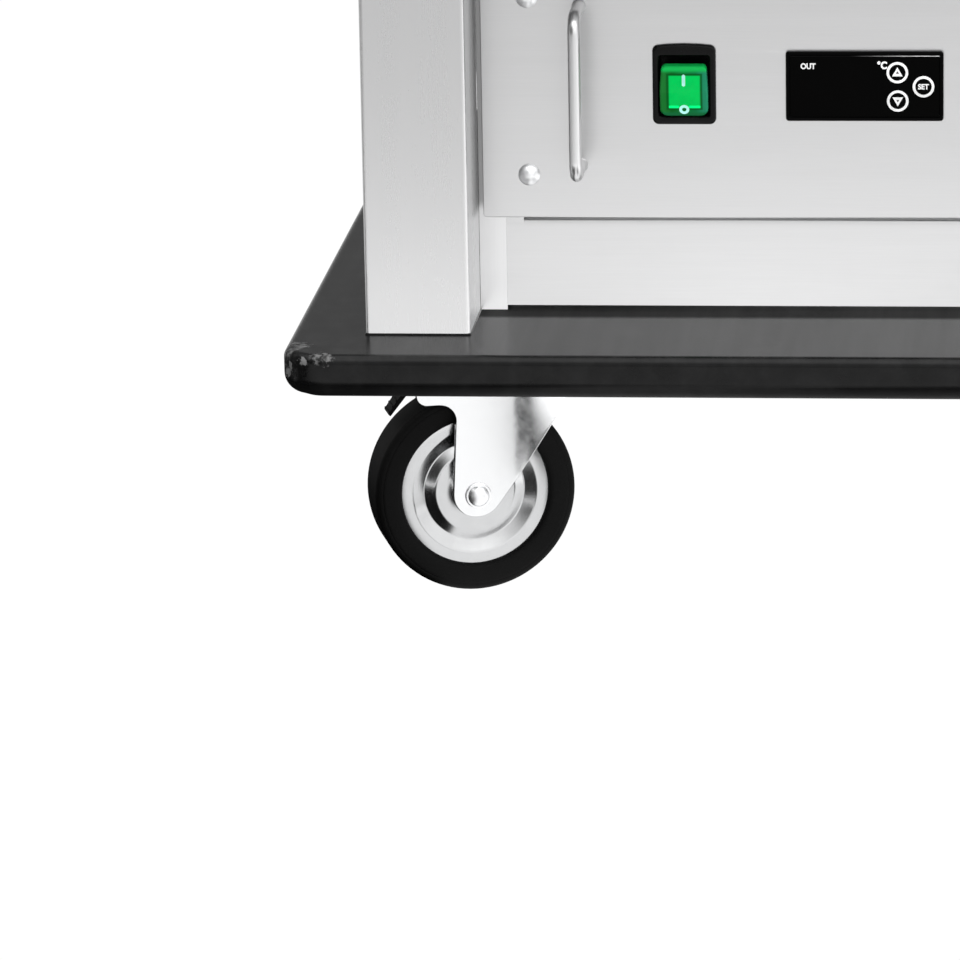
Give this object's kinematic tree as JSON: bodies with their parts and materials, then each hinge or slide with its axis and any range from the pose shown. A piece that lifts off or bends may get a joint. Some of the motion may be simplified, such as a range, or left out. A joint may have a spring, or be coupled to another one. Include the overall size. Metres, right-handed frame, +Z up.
{
  "type": "hostess trolley",
  "caption": "Heated stainless hostess trolley: insulated cabinet with one door over a slide out heater module, on a bumper base with swivel castors.",
  "frame": {"origin": "centre of the footprint, on the floor", "axes": "+X to the right seen from the front, +Y towards the back, +Z up; the door faces -Y"},
  "size_m": [0.612, 0.737, 1.436],
  "materials": {
    "steel": "fine brushed, satin",
    "zinc": "bright zinc plated",
    "moulding": "fine grained moulding",
    "gloss": "glossy black",
    "rocker": "translucent green",
    "tyre": "matt black rubber",
    "seal": "matt",
    "foam": "closed foam board",
    "motor": "painted grey",
    "element": "heat tinted"
  },
  "bodies": {
    "cabinet": {"base_bumper": "moulding", "post_front_left": "steel", "post_front_right": "steel", "side_panel_left": "steel", "side_panel_right": "steel", "back_panel": "steel", "roof_panel": "steel", "cavity_liner": "steel", "cabinet_insulation": "foam", "front_frame": "steel", "lower_frame": "steel", "rack_left": "zinc", "rack_right": "zinc", "push_handle_left": "steel", "push_handle_right": "steel", "frame_hinges": "zinc", "latch_keeper": "zinc", "mains_inlet": "moulding", "castor_plates": "zinc", "castor_bolts": "zinc", "air_grille": "steel"},
    "door": {"door_skin": "steel", "door_liner": "steel", "door_insulation": "foam", "door_gasket": "seal", "door_hinges": "zinc", "latch_housing": "zinc"},
    "latch": {"latch_handle": "moulding"},
    "heater_module": {"heater_panel": "steel", "heater_tray": "zinc", "wire_handles": "zinc", "panel_screws": "zinc", "heating_element": "element", "fan_motor": "motor", "water_pan": "steel", "thermostat_case": "gloss", "switch_housing": "moulding"},
    "fan": {"fan_impeller": "zinc"},
    "up_key": {"button_up": "gloss"},
    "down_key": {"button_down": "gloss"},
    "set_key": {"button_set": "gloss"},
    "rocker": {"switch_rocker": "rocker"},
    "castor_front_left": {"fork_front_left": "zinc", "axle_front_left": "zinc"},
    "wheel_front_left": {"rim_front_left": "zinc", "tyre_front_left": "tyre"},
    "brake_left": {"brake_pedal_left": "moulding"},
    "castor_front_right": {"fork_front_right": "zinc", "axle_front_right": "zinc"},
    "wheel_front_right": {"rim_front_right": "zinc", "tyre_front_right": "tyre"},
    "brake_right": {"brake_pedal_right": "moulding"},
    "castor_rear_left": {"fork_rear_left": "zinc", "axle_rear_left": "zinc"},
    "wheel_rear_left": {"rim_rear_left": "zinc", "tyre_rear_left": "tyre"},
    "castor_rear_right": {"fork_rear_right": "zinc", "axle_rear_right": "zinc"},
    "wheel_rear_right": {"rim_rear_right": "zinc", "tyre_rear_right": "tyre"}
  },
  "joints": [
    {"name": "door_hinge", "type": "hinge", "parent": "cabinet", "child": "door", "pos_m": [0.1845, -0.331, 0.8595], "axis": [0, 0, 1], "range_deg": [0, 180]},
    {"name": "latch_turn", "type": "hinge", "parent": "door", "child": "latch", "pos_m": [-0.15852, -0.34, 0.8595], "axis": [0, 1, 0], "range_deg": [0, 90]},
    {"name": "heater_slide", "type": "slide", "parent": "cabinet", "child": "heater_module", "axis": [0, -1, 0], "range_m": [0, 0.45]},
    {"name": "fan_spin", "type": "hinge", "parent": "heater_module", "child": "fan", "pos_m": [0, 0.2065, 0.26], "axis": [0, 0, 1], "continuous": true},
    {"name": "rocker_tilt", "type": "hinge", "parent": "heater_module", "child": "rocker", "pos_m": [-0.086, -0.277, 0.2588], "axis": [-1, 0, 0], "range_deg": [0, 12]},
    {"name": "up_press", "type": "slide", "parent": "heater_module", "child": "up_key", "axis": [0, 1, 0], "range_m": [0, 0.0006], "stiffness_N_per_m": 2000, "springref_m": -0.0005},
    {"name": "down_press", "type": "slide", "parent": "heater_module", "child": "down_key", "axis": [0, 1, 0], "range_m": [0, 0.0006], "stiffness_N_per_m": 2000, "springref_m": -0.0005},
    {"name": "set_press", "type": "slide", "parent": "heater_module", "child": "set_key", "axis": [0, 1, 0], "range_m": [0, 0.0006], "stiffness_N_per_m": 2000, "springref_m": -0.0005},
    {"name": "swivel_front_left", "type": "hinge", "parent": "cabinet", "child": "castor_front_left", "pos_m": [-0.163, -0.225, 0.11], "axis": [0, 0, 1], "continuous": true},
    {"name": "wheel_spin_front_left", "type": "hinge", "parent": "castor_front_left", "child": "wheel_front_left", "pos_m": [-0.19616, -0.23451, 0.05], "axis": [-0.2756, 0.9613, 0], "continuous": true},
    {"name": "brake_left", "type": "hinge", "parent": "castor_front_left", "child": "brake_left", "pos_m": [-0.21923, -0.24112, 0.1053], "axis": [0.2756, -0.9613, 0], "range_deg": [0, 15]},
    {"name": "swivel_front_right", "type": "hinge", "parent": "cabinet", "child": "castor_front_right", "pos_m": [0.163, -0.225, 0.11], "axis": [0, 0, 1], "continuous": true},
    {"name": "wheel_spin_front_right", "type": "hinge", "parent": "castor_front_right", "child": "wheel_front_right", "pos_m": [0.12913, -0.23158, 0.05], "axis": [-0.1908, 0.9816, 0], "continuous": true},
    {"name": "brake_right", "type": "hinge", "parent": "castor_front_right", "child": "brake_right", "pos_m": [0.10557, -0.23616, 0.1053], "axis": [0.1908, -0.9816, 0], "range_deg": [0, 15]},
    {"name": "swivel_rear_left", "type": "hinge", "parent": "cabinet", "child": "castor_rear_left", "pos_m": [-0.163, 0.225, 0.11], "axis": [0, 0, 1], "continuous": true},
    {"name": "wheel_spin_rear_left", "type": "hinge", "parent": "castor_rear_left", "child": "wheel_rear_left", "pos_m": [-0.19542, 0.2132, 0.05], "axis": [-0.342, 0.9397, 0], "continuous": true},
    {"name": "swivel_rear_right", "type": "hinge", "parent": "cabinet", "child": "castor_rear_right", "pos_m": [0.163, 0.225, 0.11], "axis": [0, 0, 1], "continuous": true},
    {"name": "wheel_spin_rear_right", "type": "hinge", "parent": "castor_rear_right", "child": "wheel_rear_right", "pos_m": [0.12952, 0.21665, 0.05], "axis": [-0.2419, 0.9703, 0], "continuous": true}
  ]
}
